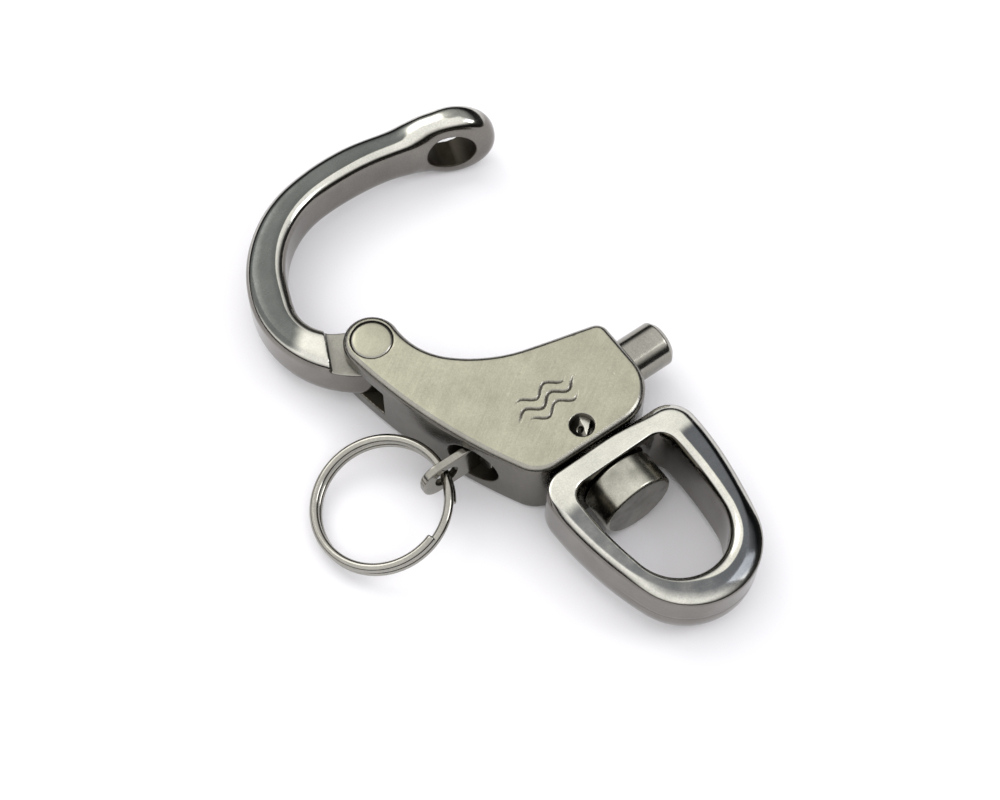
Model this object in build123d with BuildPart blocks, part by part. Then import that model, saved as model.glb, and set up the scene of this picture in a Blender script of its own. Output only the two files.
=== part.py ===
"""Swivel-eye snap shackle, lying flat on its side with the bow swung open.

Frame: millimetres. The origin is on the underside of the body, below the point where the
plunger's axis crosses the swivel axis. +X runs along the plunger towards its tip, +Y along
the swivel axis towards the bow, and +Z through the thickness of the body.
"""

from build123d import *
import math
import os

os.makedirs("parts", exist_ok=True)

# Body
body_height = 14.0
mid = body_height / 2  # every axis of the shackle lies at mid thickness
pivot = (-19.3, 25.2)  # centre of the bow's hinge rivet
ear_radius = 4.75
base_y = -11.1  # flat end that faces the swivel eye
right_x = 13.3
body_edge_fillet = 0.8
slot_width = 6.8  # clevis slot for the bow's tang
slot_floor_y = 17.4

# Pivot rivet
rivet_shank_radius = 2.6
rivet_head_radius = 3.45
rivet_head_depth = 1.5
rivet_edge = 0.3

# Bow
bow_open_angle = 72.7  # rest position, measured from closed
arm_height = 10.4
arm_fillet = 1.6
tang_thickness = 6.4
tang_radius = 4.6
bow_eye_radius = 7.1
bow_eye_turn = -8.0  # the eye's faces stand at this angle to its hole
bow_eye_hole_radius = 4.3
bow_eye_inner_x = 16.2
bow_eye_outer_x = 21.3
bow_eye_offset = 0.5  # the boss stands this far beyond the centre of its hole
arm_inner_x = 16.3
arm_outer_x = 21.4

# Plunger, its bore and its spring
plunger_radius = 4.0
plunger_end_x = 21.7
plunger_shoulder_x = 1.5
plunger_chamfer = 0.9
shank_radius = 2.5
bore_clearance = 0.08
bore_wall_x = (-13.0, -11.5)  # inner wall that the spring pushes against
bore_mouth_radius = 4.3
tab_end_x = -26.3
tab_hole_x = -21.9
tab_hole_radius = 2.2
tab_height = 7.4
tab_y = (0.45, 1.85)
tab_stop_gap = 0.1
spring_wire = 0.9
spring_mean_radius = 3.2
spring_turns = 6
spring_gap = 0.1

# Split ring
ring_outer_diameter = 24.0
ring_wire = 1.6
ring_turn_gap = 0.03
ring_turns = 1.9
ring_drop = 0.4  # the wire rides below the centre of the tab hole
ring_lead = 25.0  # angle from the lower end of the wire round to the tab
ring_heading = -13.0  # direction from the ring's centre to the tab hole, about Z
ring_tilt = 14.5  # slope of the ring, down from the tab hole to its far side

# Swivel eye and pin
eye_gap = 0.4
eye_bar = 4.1
eye_height = 12.8
eye_side_radius = 58.0
eye_end_radius = 12.0
eye_end_y = -44.3
eye_inner_side_radius = 70.0
eye_inner_end_radius = 8.6
eye_inner_end_y = -38.7
eye_corner_radius = 4.2
eye_inner_corner_radius = 2.6
eye_roll = 2.0  # rest position, about the swivel axis
eye_yaw = 1.5  # and across it
eye_bore_clearance = 0.2
eye_outer_fillet = 2.3
eye_inner_fillet = 0.8
stem_radius = 3.95
stem_end_y = -5.0
button_radius = 6.4
button_face_y = -22.0
button_gap = 0.3
button_fillet = 0.5

# Cross pin that locks the swivel pin in the body
lock_pin_centre = (-0.9, -7.6)
lock_pin_radius = 2.05
lock_pin_recess = 0.5
fit_gap = 0.03

eye_outer_y = base_y - eye_gap
eye_inner_y = eye_outer_y - eye_bar
plunger_line = Plane(origin=(0, 0, mid), x_dir=(0, 1, 0), z_dir=(1, 0, 0))
swivel_line = Plane(origin=(0, 0, mid), x_dir=(1, 0, 0), z_dir=(0, -1, 0))


def heading(degrees):
    """Unit vector in the XY plane."""
    return (math.cos(math.radians(degrees)), math.sin(math.radians(degrees)))


def on_ear(degrees):
    """Point on the rounded ear of the body, around the pivot."""
    along = heading(degrees)
    return (pivot[0] + ear_radius * along[0], pivot[1] + ear_radius * along[1])


def on_tang(degrees):
    """Point on the rounded end of the bow's tang, relative to the pivot."""
    return (tang_radius * heading(degrees)[0], tang_radius * heading(degrees)[1])


def landing(start, course, centre, radius, guess, turn):
    """Angle on a circle where an arc that leaves start on this course meets it tangentially."""
    angle = guess
    for _ in range(60):
        x = centre[0] + radius * heading(angle)[0] - start[0]
        y = centre[1] + radius * heading(angle)[1] - start[1]
        chord = math.degrees(math.atan2(y, x))
        miss = 2 * chord - course - 90 * turn - angle
        angle += 0.4 * ((miss + 180) % 360 - 180)
    return angle


def course_of(vector):
    """Heading of a direction, in degrees."""
    return math.degrees(math.atan2(vector.Y, vector.X))


# ---------------------------------------------------------------- body
corner_radius = 2.2
upper_course = 166.0
upper_end = heading(upper_course - 90)
base_right = (5.4, base_y)
right_foot = (right_x, base_y + right_x - base_right[0])
right_top = (right_x, 4.3)
shoulder = (
    right_top[0] - corner_radius * (1 - upper_end[0]),
    right_top[1] + corner_radius * upper_end[1],
)
neck = (shoulder[0] + 11.2 * heading(upper_course)[0], shoulder[1] + 11.2 * heading(upper_course)[1])
throat = (-10.5, 15.2)
left_foot = (-13.4, -8.0)

with BuildPart() as body:
    with BuildSketch():
        with BuildLine():
            TangentArc(base_right, right_foot, tangent=(1, 0))
            Line(right_foot, right_top)
            TangentArc(right_top, shoulder, tangent=(0, 1))
            Line(shoulder, neck)
            hollow = TangentArc(neck, throat, tangent=heading(upper_course))
            ear_start = landing(throat, course_of(hollow % 1), pivot, ear_radius, 5, 1)
            TangentArc(throat, on_ear(ear_start), tangent=hollow % 1)
            ThreePointArc(on_ear(ear_start), on_ear(97), on_ear(188))
            flank = TangentArc(on_ear(188), left_foot, tangent=heading(278))
            foot_slope = math.radians(-course_of(flank % 1))
            base_left = (left_foot[0] + (left_foot[1] - base_y) / math.tan(foot_slope / 2), base_y)
            TangentArc(left_foot, base_left, tangent=flank % 1)
            Line(base_left, base_right)
        make_face()
    extrude(amount=body_height)
    fillet(body.faces().sort_by(Axis.Z)[-1].edges(), body_edge_fillet)
    fillet(body.faces().sort_by(Axis.Z)[0].edges(), body_edge_fillet)
    # clevis slot, open on the flank, on the upper edge and round the ear
    with BuildSketch(Plane.XY.offset(mid - slot_width / 2)):
        with Locations((pivot[0], slot_floor_y)):
            Rectangle(40, 40, align=(Align.CENTER, Align.MIN))
    extrude(amount=slot_width, mode=Mode.SUBTRACT)
    # rivet hole with a counterbore in both ears
    with Locations((*pivot, body_height)):
        CounterBoreHole(rivet_shank_radius, rivet_head_radius + fit_gap, rivet_head_depth)
    with BuildSketch():
        with Locations(pivot):
            Circle(rivet_head_radius + fit_gap)
    extrude(amount=rivet_head_depth, mode=Mode.SUBTRACT)
    # plunger bore, the hole for its shank and the wide mouth on the flank
    with BuildSketch(plunger_line.offset(bore_wall_x[1])):
        Circle(plunger_radius + bore_clearance)
    extrude(amount=40, mode=Mode.SUBTRACT)
    with BuildSketch(plunger_line.offset(bore_wall_x[0] - 1)):
        Circle(shank_radius + bore_clearance)
    extrude(amount=4, mode=Mode.SUBTRACT)
    with BuildSketch(plunger_line.offset(bore_wall_x[0])):
        Circle(bore_mouth_radius)
    extrude(amount=-20, mode=Mode.SUBTRACT)
    # blind bore for the swivel pin and the cross hole for its lock pin
    with BuildSketch(swivel_line.offset(-stem_end_y - 0.15)):
        Circle(stem_radius + fit_gap)
    extrude(amount=20, mode=Mode.SUBTRACT)
    with BuildSketch():
        with Locations(lock_pin_centre):
            Circle(lock_pin_radius)
    extrude(amount=body_height, mode=Mode.SUBTRACT)
body.part.label = "body"
export_step(body.part, "parts/body.step")

# ---------------------------------------------------------------- pivot rivet
with BuildPart() as pivot_rivet:
    with BuildSketch():
        with Locations(pivot):
            Circle(rivet_shank_radius - fit_gap)
    extrude(amount=body_height)
    for level in (0, body_height - rivet_head_depth):
        with BuildSketch(Plane.XY.offset(level)):
            with Locations(pivot):
                Circle(rivet_head_radius)
        extrude(amount=rivet_head_depth)
    rims = pivot_rivet.edges().filter_by(GeomType.CIRCLE).sort_by(Axis.Z)
    chamfer([rims[0], rims[-1]], rivet_edge)
pivot_rivet.part.label = "pivot_rivet"
export_step(pivot_rivet.part, "parts/pivot_rivet.step")

# ---------------------------------------------------------------- bow
# The outline is drawn closed, in a frame centred on the pivot, and that frame is turned open.
bow_x = heading(bow_open_angle)
bow_floor = Plane(origin=(*pivot, mid), x_dir=(*bow_x, 0), z_dir=(0, 0, 1))
eye_x = bow_eye_inner_x - pivot[0]
eye_y = -pivot[1]
outer_x = arm_outer_x - pivot[0]
inner_x = arm_inner_x - pivot[0]
hole_centre = bow_floor.from_local_coords(Vector(eye_x, eye_y, 0))
boss_centre = bow_floor.from_local_coords(Vector(eye_x, eye_y - bow_eye_offset, 0))
bow_end = bow_floor.from_local_coords(Vector((inner_x + outer_x) / 2, eye_y + 2, 0))


def across(angle, centre):
    """Plane through centre that faces along this heading."""
    way = heading(angle)
    return Plane(origin=centre, x_dir=(-way[1], way[0], 0), z_dir=(*way, 0))


with BuildPart() as bow:
    with BuildSketch(bow_floor.offset(-arm_height / 2)):
        with BuildLine():
            crown = (15.3, 16.8)
            elbow = (35.7, 3.8)
            wrist = (outer_x - 0.3, -13.2)
            knuckle = (5.0, 4.4)
            back = TangentArc(on_tang(171), crown, tangent=heading(81))
            brow = TangentArc(crown, elbow, tangent=back % 1)
            TangentArc(elbow, wrist, tangent=brow % 1)
            Line(wrist, (outer_x, eye_y + 2))
            Line((outer_x, eye_y + 2), (inner_x, eye_y + 2))
            Line((inner_x, eye_y + 2), (inner_x, -13.0))
            rise = TangentArc((inner_x, -13.0), (31.6, -0.9), tangent=(0, 1))
            span = TangentArc((31.6, -0.9), (17.1, 9.7), tangent=rise % 1)
            bend = TangentArc((17.1, 9.7), (11.9, 10.0), tangent=span % 1)
            tuck = TangentArc((11.9, 10.0), knuckle, tangent=bend % 1)
            toe = landing(knuckle, course_of(tuck % 1), (0, 0), tang_radius, 0, -1)
            TangentArc(knuckle, on_tang(toe), tangent=tuck % 1)
            ThreePointArc(on_tang(toe), on_tang(-90), on_tang(171))
        make_face()
    extrude(amount=arm_height)
    ends = bow.edges().filter_by(lambda e: (e @ 0.5 - bow_end).length < arm_height)
    rims = bow.faces().filter_by(Axis.Z).edges()
    fillet([e for e in rims if e not in ends], arm_fillet)
    # tang: both faces are cut back as far as a straight shoulder
    for side in (1, -1):
        with BuildSketch(bow_floor.offset(side * tang_thickness / 2)):
            with Locations((0, 7.4)):
                Rectangle(40, 30, rotation=-8, align=(Align.CENTER, Align.MAX))
            with Locations((40, -20)):
                Rectangle(30, 60, mode=Mode.SUBTRACT)
        extrude(amount=side * 10, mode=Mode.SUBTRACT)
    # eye at the free end, which closes over the plunger
    with BuildSketch(across(bow_open_angle + bow_eye_turn, boss_centre)):
        Circle(bow_eye_radius)
    extrude(amount=bow_eye_outer_x - bow_eye_inner_x)
    with BuildSketch(across(bow_open_angle, hole_centre).offset(-2)):
        Circle(bow_eye_hole_radius)
    extrude(amount=12, mode=Mode.SUBTRACT)
    with BuildSketch(bow_floor.offset(-body_height)):
        Circle(rivet_shank_radius + 0.05)
    extrude(amount=2 * body_height, mode=Mode.SUBTRACT)
bow.part.label = "bow"
export_step(bow.part, "parts/bow.step")

# ---------------------------------------------------------------- plunger
with BuildPart() as plunger:
    with BuildSketch(plunger_line.offset(plunger_shoulder_x)):
        Circle(plunger_radius)
    extrude(amount=plunger_end_x - plunger_shoulder_x)
    chamfer(plunger.edges().sort_by(Axis.X)[-1], plunger_chamfer)
    with BuildSketch(plunger_line.offset(bore_wall_x[0] - 2)):
        Circle(shank_radius)
    extrude(amount=plunger_shoulder_x - bore_wall_x[0] + 2)
    # the shank's end is pressed flat into a round-ended tab with a hole
    tab_start_x = bore_wall_x[0] - tab_stop_gap
    with BuildSketch(Plane.XZ.offset(-tab_y[0])):
        with Locations(((tab_end_x + tab_start_x) / 2, mid)):
            RectangleRounded(tab_start_x - tab_end_x, tab_height, tab_height / 2 - 0.6)
        with Locations((tab_hole_x, mid)):
            Circle(tab_hole_radius, mode=Mode.SUBTRACT)
    extrude(amount=-(tab_y[1] - tab_y[0]))
plunger.part.label = "plunger"
export_step(plunger.part, "parts/plunger.step")

# ---------------------------------------------------------------- plunger spring
spring_length = plunger_shoulder_x - bore_wall_x[1] - 2 * spring_gap - spring_wire
with BuildPart() as plunger_spring:
    with BuildLine():
        coil = Helix(
            pitch=spring_length / spring_turns,
            height=spring_length,
            radius=spring_mean_radius,
            center=(bore_wall_x[1] + spring_gap + spring_wire / 2, 0, mid),
            direction=(1, 0, 0),
        )
    with BuildSketch(Plane(origin=coil @ 0, z_dir=coil % 0)):
        Circle(spring_wire / 2)
    sweep(path=coil, is_frenet=True)
plunger_spring.part.label = "plunger_spring"
export_step(plunger_spring.part, "parts/plunger_spring.step")

# ---------------------------------------------------------------- split ring
ring_radius = (ring_outer_diameter - ring_wire) / 2
ring_pitch = ring_wire + ring_turn_gap
tilt = math.radians(ring_tilt)
toward = heading(ring_heading)
hole_point = Vector(tab_hole_x, sum(tab_y) / 2, mid - ring_drop)
slope = Vector(math.cos(tilt) * toward[0], math.cos(tilt) * toward[1], math.sin(tilt))
ring_normal = Vector(-math.sin(tilt) * toward[0], -math.sin(tilt) * toward[1], math.cos(tilt))
# the two turns that cross the tab hole lie on either side of the hole's centre
wire_start = hole_point - slope * ring_radius - ring_normal * (ring_pitch * (0.5 + ring_lead / 360))
ring_seat = Plane(
    origin=wire_start,
    x_dir=slope.rotate(Axis((0, 0, 0), ring_normal), -ring_lead),
    z_dir=ring_normal,
)
with BuildPart() as split_ring:
    with BuildLine():
        turns = Helix(pitch=ring_pitch, height=ring_pitch * ring_turns, radius=ring_radius)
    with BuildSketch(Plane(origin=turns @ 0, z_dir=turns % 0)):
        Circle(ring_wire / 2)
    sweep(path=turns, is_frenet=True)
split_ring.part.locate(ring_seat.location)
split_ring.part.label = "split_ring"
export_step(split_ring.part, "parts/split_ring.step")

# ---------------------------------------------------------------- swivel eye


def d_outline(top_y, side_radius, end_radius, end_y, turn):
    """Closed D: a flat bar side at top_y and bowed sides that run into a round end.

    turn is the angle, below the X axis, where each side meets the end, tangentially.
    """
    normal = heading(-turn)
    centre_y = end_y + end_radius
    joint = (end_radius * normal[0], centre_y + end_radius * normal[1])
    side_x = joint[0] - side_radius * normal[0]
    side_y = joint[1] - side_radius * normal[1]
    top_x = side_x + math.sqrt(side_radius**2 - (top_y - side_y) ** 2)
    widest = (side_x + side_radius, side_y)
    Line((-top_x, top_y), (top_x, top_y))
    ThreePointArc((top_x, top_y), widest, joint)
    ThreePointArc(joint, (0, end_y), (-joint[0], joint[1]))
    ThreePointArc((-joint[0], joint[1]), (-widest[0], widest[1]), (-top_x, top_y))


with BuildPart() as swivel_eye:
    with BuildSketch(Plane.XY.offset(mid - eye_height / 2)) as eye_face:
        with BuildLine():
            d_outline(eye_outer_y, eye_side_radius, eye_end_radius, eye_end_y, 18)
        make_face()
        fillet(eye_face.vertices().group_by(Axis.Y)[-1], eye_corner_radius)
    extrude(amount=eye_height)
    fillet(swivel_eye.faces().filter_by(Axis.Z).edges(), eye_outer_fillet)
    with BuildSketch(Plane.XY.offset(mid - eye_height / 2)) as eye_hole:
        with BuildLine():
            d_outline(eye_inner_y, eye_inner_side_radius, eye_inner_end_radius, eye_inner_end_y, 10)
        make_face()
        fillet(eye_hole.vertices().group_by(Axis.Y)[-1], eye_inner_corner_radius)
    extrude(amount=eye_height, mode=Mode.SUBTRACT)
    inner_rims = [
        e
        for e in swivel_eye.faces().filter_by(Axis.Z).edges()
        if abs((e @ 0.5).X) < 10.5 and eye_inner_end_y - 0.1 < (e @ 0.5).Y < eye_inner_y + 0.1
    ]
    fillet(inner_rims, eye_inner_fillet)
    with BuildSketch(swivel_line.offset(-eye_outer_y - 1)):
        Circle(stem_radius + eye_bore_clearance)
    extrude(amount=eye_bar + 2, mode=Mode.SUBTRACT)
# the loose eye hangs a little askew on its pin
on_pin = Pos(0, eye_outer_y - eye_bar / 2, mid)
swivel_eye.part.locate(on_pin * Rot(0, eye_roll, eye_yaw) * on_pin.inverse())
swivel_eye.part.label = "swivel_eye"
export_step(swivel_eye.part, "parts/swivel_eye.step")

# ---------------------------------------------------------------- swivel pin
with BuildPart() as swivel_pin:
    with BuildSketch(swivel_line.offset(-stem_end_y)):
        Circle(stem_radius)
    extrude(amount=stem_end_y - eye_inner_y + button_gap)
    with BuildSketch(swivel_line.offset(-eye_inner_y + button_gap)):
        Circle(button_radius)
    extrude(amount=eye_inner_y - button_gap - button_face_y)
    rims = swivel_pin.edges().filter_by(GeomType.CIRCLE).sort_by(SortBy.RADIUS)
    fillet(rims[-2:], button_fillet)
    with BuildSketch():
        with Locations(lock_pin_centre):
            Circle(lock_pin_radius)
    extrude(amount=body_height, mode=Mode.SUBTRACT)
swivel_pin.part.label = "swivel_pin"
export_step(swivel_pin.part, "parts/swivel_pin.step")

# ---------------------------------------------------------------- lock pin
with BuildPart() as lock_pin:
    with BuildSketch(Plane.XY.offset(lock_pin_recess)):
        with Locations(lock_pin_centre):
            Circle(lock_pin_radius - fit_gap)
    extrude(amount=body_height - 2 * lock_pin_recess)
lock_pin.part.label = "lock_pin"
export_step(lock_pin.part, "parts/lock_pin.step")
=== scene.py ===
import bpy
import bmesh
import math
import numpy as np
from mathutils import Matrix, Vector


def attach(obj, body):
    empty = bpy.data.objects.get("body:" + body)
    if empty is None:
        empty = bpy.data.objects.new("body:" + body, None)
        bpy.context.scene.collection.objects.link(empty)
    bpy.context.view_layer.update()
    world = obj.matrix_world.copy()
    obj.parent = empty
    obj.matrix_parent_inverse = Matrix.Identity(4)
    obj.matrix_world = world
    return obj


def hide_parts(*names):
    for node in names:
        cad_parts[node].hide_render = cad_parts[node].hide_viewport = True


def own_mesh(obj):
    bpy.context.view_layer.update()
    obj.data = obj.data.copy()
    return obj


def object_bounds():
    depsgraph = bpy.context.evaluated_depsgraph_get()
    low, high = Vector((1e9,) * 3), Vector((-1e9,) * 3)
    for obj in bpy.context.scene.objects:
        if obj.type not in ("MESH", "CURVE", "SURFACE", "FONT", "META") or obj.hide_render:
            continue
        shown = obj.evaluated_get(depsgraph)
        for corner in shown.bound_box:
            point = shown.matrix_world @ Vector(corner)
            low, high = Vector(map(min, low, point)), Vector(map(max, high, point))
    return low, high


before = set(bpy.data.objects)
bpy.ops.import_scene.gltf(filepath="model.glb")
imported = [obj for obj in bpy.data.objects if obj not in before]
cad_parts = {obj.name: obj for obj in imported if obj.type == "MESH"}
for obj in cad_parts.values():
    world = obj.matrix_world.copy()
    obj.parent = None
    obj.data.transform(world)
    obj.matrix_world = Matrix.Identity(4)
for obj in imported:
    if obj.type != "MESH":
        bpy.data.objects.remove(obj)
cad_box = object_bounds()

# ------------------------------------------------------------------ sizes, in millimetres
HEIGHT = 14.0
MID = HEIGHT / 2
PIVOT = (-19.3, 25.2)
EAR_RADIUS = 4.75
TANG_RADIUS = 4.6
BASE_Y = -11.1
RIGHT_X = 13.3
SLOT_WIDTH = 6.8
TANG_HALF = 3.2
RIVET_HEAD = 3.45
RIVET_SHANK = 2.57
RIVET_SEAT = 1.5
BOW_ANGLE = 72.7
BOW_HEIGHT = 10.4
BOSS_RADIUS = 7.0
BOSS_HOLE = 4.3
BOSS_TURN = -8.0
PLUNGER_RADIUS = 4.0
PLUNGER_TIP = 21.7
SHANK_RADIUS = 2.5
SPRING_SEAT = 1.5
MOUTH = 4.3
TAB_CORNER = 3.1
TAB_HOLE_X = -21.9
TAB_Y = (0.45, 1.85)
RING_DIAMETER = 24.0
RING_WIRE = 1.6
RING_PITCH = 1.63
RING_TURNS = 1.9
RING_LEAD = 25.0
SPRING_START = -10.95
SPRING_LENGTH = 11.9
SPRING_TURNS = 6
SPRING_RADIUS = 3.2
SPRING_WIRE = 0.88
EYE_AXIS_Y = -13.55
EYE_HALF = 6.4
EYE_END = 12.0
EYE_END_Y = -44.3
PIN_HEAD = 6.4
PIN_STEM = 3.95
PIN_HEAD_FROM = 15.9
PIN_END = 22.0
LOCK_CENTRE = (-0.9, -7.6)
LOCK_HOLE = 2.05
LOCK_RADIUS = 2.02
RIDGE_WAY = (0.81, -0.586)  # direction across the ridge on the lock pin's end
THROUGH = (-1, 15)  # heights that pass right through the body
AXIS = 0.01  # radius that closes a turned shape at its axis

BEND = [math.pi / 2 * i / 10 for i in range(11)]  # a quarter turn in small steps
rng = np.random.default_rng(11)


# ------------------------------------------------------------------ outlines
def heading(degrees):
    """Unit vector on this course."""
    return np.array((math.cos(math.radians(degrees)), math.sin(math.radians(degrees))))


def run(points, end, course, step=0.2):
    """Adds an arc that leaves the last point on this course (degrees) and ends at end."""
    start = np.array(points[-1], float)
    chord = np.array(end, float) - start
    lean = (math.degrees(math.atan2(chord[1], chord[0])) - course + 180) % 360 - 180
    length = float(np.linalg.norm(chord))
    if abs(lean) < 0.02:
        count = max(2, math.ceil(length / step))
        points += [start + chord * i / count for i in range(1, count + 1)]
        return course
    radius = length / (2 * math.sin(math.radians(lean)))
    centre = start + radius * np.array((-heading(course)[1], heading(course)[0]))
    count = max(2, math.ceil(abs(radius * math.radians(2 * lean)) / step))
    for i in range(1, count + 1):
        way = heading(course + 2 * lean * i / count)
        points.append(centre + radius * np.array((way[1], -way[0])))
    return course + 2 * lean


def landing(start, course, centre, radius, guess, turn):
    """Angle on a circle where an arc from start, on this course, meets it tangentially."""
    angle = guess
    for _ in range(60):
        to = np.array(centre) + radius * heading(angle) - np.array(start)
        miss = 2 * math.degrees(math.atan2(to[1], to[0])) - course - 90 * turn - angle
        angle += 0.4 * ((miss + 180) % 360 - 180)
    return angle


def round_run(centre, radius, first, last, step=0.2):
    """Arc about a centre, between two angles in degrees."""
    count = max(2, math.ceil(abs(radius * math.radians(last - first)) / step))
    angles = [first + (last - first) * i / count for i in range(count + 1)]
    return [np.array(centre) + radius * heading(a) for a in angles]


def body_outline():
    """Body from above, anticlockwise from the start of its bottom right corner."""
    upper_course = 166.0
    corner = 2.2
    corner_foot = (5.4, BASE_Y)
    side_top = 4.3
    straight = 11.2
    throat = (-10.5, 15.2)
    left_foot = (-13.4, -8.0)
    square_on = heading(upper_course - 90)
    shoulder = (RIGHT_X - corner * (1 - square_on[0]), side_top + corner * square_on[1])
    points = [np.array(corner_foot)]
    run(points, (RIGHT_X, BASE_Y + RIGHT_X - corner_foot[0]), 0)
    run(points, (RIGHT_X, side_top), 90)
    run(points, shoulder, 90)
    run(points, np.array(shoulder) + straight * heading(upper_course), upper_course)
    course = run(points, throat, upper_course)
    ear = landing(throat, course, PIVOT, EAR_RADIUS, 5, 1)
    run(points, PIVOT + EAR_RADIUS * heading(ear), course)
    points += round_run(PIVOT, EAR_RADIUS, ear, 188)[1:]
    course = run(points, left_foot, 278)
    slope = math.radians((-course) % 360)
    run(points, (left_foot[0] + (left_foot[1] - BASE_Y) / math.tan(slope / 2), BASE_Y), course)
    run(points, points[0], 0)
    return np.array(points[:-1])


def bow_outline():
    """Bow in its closed pose, relative to the pivot."""
    end_y = -PIVOT[1] + 2
    knuckle = (5.0, 4.4)
    tang_side = 171
    points = [TANG_RADIUS * heading(tang_side)]
    course = tang_side - 90
    for stop in ((15.3, 16.8), (35.7, 3.8), (40.5, -12.0), (41.2, end_y)):
        course = run(points, stop, course)
    run(points, (35.6, end_y), 180)
    course = run(points, (35.0, -14.0), 92)
    for stop in ((31.6, -0.9), (17.1, 9.7), (11.9, 10.0), knuckle):
        course = run(points, stop, course)
    toe = landing(knuckle, course, (0, 0), TANG_RADIUS, 0, -1)
    run(points, TANG_RADIUS * heading(toe), course)
    points += round_run((0, 0), TANG_RADIUS, toe, tang_side - 360)[1:-1]
    return np.array(points)[::-1]


def d_outline(top_y, side, end, end_y, turn, corner):
    """D shape about the line x = 0: a flat bar side, round corners, bowed sides and a round end.

    side, end and corner are radii, and turn is where the end's arc meets the sides, in degrees.
    """
    centre_y = end_y + end
    side_x = (end - side) * heading(-turn)[0]
    side_y = centre_y + (end - side) * heading(-turn)[1]
    corner_y = top_y - corner
    corner_x = side_x + math.sqrt((side - corner) ** 2 - (corner_y - side_y) ** 2)
    meet = math.degrees(math.atan2(corner_y - side_y, corner_x - side_x))
    half = round_run((0, centre_y), end, -90, -turn)
    half += round_run((side_x, side_y), side, -turn, meet)[1:]
    half += round_run((corner_x, corner_y), corner, meet, 90)[1:]
    half += [np.array((corner_x * (1 - t), top_y)) for t in np.linspace(0, 1, 40)[1:]]
    mirrored = [p * (-1, 1) for p in half[-2:0:-1]]
    return np.array(half + mirrored)


# ------------------------------------------------------------------ solids, in millimetres
def new_object(name, verts, faces):
    mesh = bpy.data.meshes.new(name)
    mesh.from_pydata([tuple(v) for v in verts], [], faces)
    obj = bpy.data.objects.new(name, mesh)
    bpy.context.scene.collection.objects.link(obj)
    return obj


def tidy_normals(obj):
    """Welds doubled vertices and turns every face outwards."""
    bm = bmesh.new()
    bm.from_mesh(obj.data)
    bmesh.ops.remove_doubles(bm, verts=bm.verts, dist=1e-5)
    bmesh.ops.recalc_face_normals(bm, faces=bm.faces)
    bm.to_mesh(obj.data)
    bm.free()
    return obj


def skin(rings, count):
    """Faces of a stack of rings, each of count vertices: quads between them and a cap at each end."""
    faces = [tuple(range(count))[::-1]]
    for k in range(rings - 1):
        for i in range(count):
            j = (i + 1) % count
            faces.append((k * count + i, k * count + j, (k + 1) * count + j, (k + 1) * count + i))
    last = (rings - 1) * count
    faces.append(tuple(range(last, last + count)))
    return faces


def plate(name, outline, profile, share=None):
    """Stack of inset copies of an anticlockwise outline: profile is [(inset, z), ...] upwards.

    share scales the inset of the upper half at each point of the outline.
    """
    ahead = np.roll(outline, -1, axis=0) - np.roll(outline, 1, axis=0)
    ahead /= np.linalg.norm(ahead, axis=1)[:, None]
    inward = np.stack((-ahead[:, 1], ahead[:, 0]), axis=1)
    verts = []
    for k, (inset, z) in enumerate(profile):
        scaled = share is not None and k >= len(profile) / 2
        ring = outline + inward * inset * (share[:, None] if scaled else 1.0)
        verts += [(x, y, z) for x, y in ring]
    return new_object(name, verts, skin(len(profile), len(outline)))


def rounded(z0, z1, inset, rise, low_inset=None, low_rise=None, fullness=1.0):
    """Profile of a wall from z0 to z1 with rounded rims.

    The rims are quarter ellipses, inset by rise. The upper one is flattened towards a straight
    bevel as fullness falls from 1 to 0.
    """
    foot, lift = low_inset or inset, low_rise or rise
    low = [(foot * (1 - math.sin(a)), z0 + lift * (1 - math.cos(a))) for a in BEND]
    high = []
    for a in BEND[::-1]:
        straight = a / BEND[-1]
        across = fullness * math.sin(a) + (1 - fullness) * straight
        up = fullness * math.cos(a) + (1 - fullness) * (1 - straight)
        high.append((inset * (1 - across), z1 - rise * (1 - up)))
    return low + high


def lathe(name, profile, origin, axis, segments=128):
    """Solid of revolution: profile is [(radius, distance along the axis), ...]."""
    axis = Vector(axis).normalized()
    side = axis.orthogonal().normalized()
    up = axis.cross(side)
    verts = []
    for radius, along in profile:
        for i in range(segments):
            a = 2 * math.pi * i / segments
            verts.append(Vector(origin) + axis * along + (side * math.cos(a) + up * math.sin(a)) * radius)
    return tidy_normals(new_object(name, verts, skin(len(profile), segments)))


def upright_cylinder(name, centre, radius, z0, z1):
    return lathe(name, [(radius, z0), (radius, z1)], (centre[0], centre[1], 0), (0, 0, 1))


def lens(name, radius, depth, origin, axis, edge):
    """Thick disc with rims rounded to a radius of edge, from origin along axis."""
    swell = [(radius - edge + edge * math.sin(a), edge * (1 - math.cos(a))) for a in BEND]
    profile = [(AXIS, 0.0)] + swell + [(r, depth - rise) for r, rise in swell[::-1]] + [(AXIS, depth)]
    return lathe(name, profile, (*origin, 0), (*axis, 0), 160)


def tube(name, points, radius, sides, end_round=0.25):
    """Wire along points, with slightly rounded ends."""
    path = np.array(points)
    ahead = np.gradient(path, axis=0)
    ahead /= np.linalg.norm(ahead, axis=1)[:, None]
    side = np.cross(ahead[0], (0.3, 0.2, 0.9))
    sizes = np.ones(len(path))
    for k in range(4):
        shrink = 1 - end_round * (1 - k / 3) ** 2
        sizes[k] = shrink
        sizes[-1 - k] = shrink
    verts = []
    for point, way, size in zip(path, ahead, sizes):
        side = side - way * (side @ way)
        side /= np.linalg.norm(side)
        up = np.cross(way, side)
        for i in range(sides):
            a = 2 * math.pi * i / sides
            verts.append(point + (side * math.cos(a) + up * math.sin(a)) * radius * size)
    return tidy_normals(new_object(name, verts, skin(len(path), sides)))


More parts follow.
